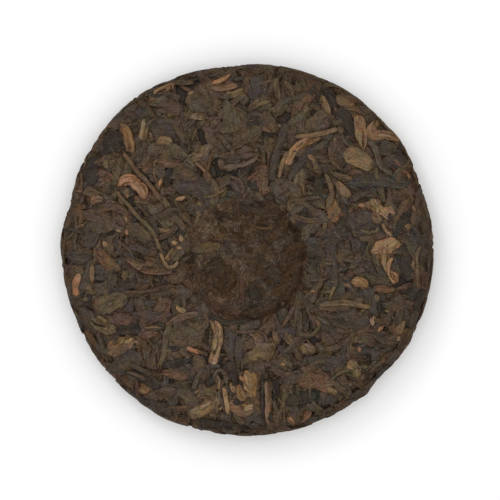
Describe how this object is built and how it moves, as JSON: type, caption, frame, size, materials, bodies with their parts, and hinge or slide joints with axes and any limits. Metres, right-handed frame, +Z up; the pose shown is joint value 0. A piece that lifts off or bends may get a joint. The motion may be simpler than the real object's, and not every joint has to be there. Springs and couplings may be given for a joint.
{
  "type": "pu erh tea cake",
  "caption": "Round pressed disc of dark ripe tea leaves, domed below and flat above, with a knot dimple in the upper face.",
  "frame": {"origin": "on the table, under the middle of the cake's box", "axes": "+Z up through the disc's thickness, the dimpled back facing up; +Y towards the top of the picture, +X to its right"},
  "size_m": [0.1954, 0.1938, 0.0232],
  "materials": {
    "pressed_tea": "dry pressed leaves, faint sheen"
  },
  "bodies": {
    "root": {"tea_cake": "pressed_tea"}
  },
  "joints": []
}
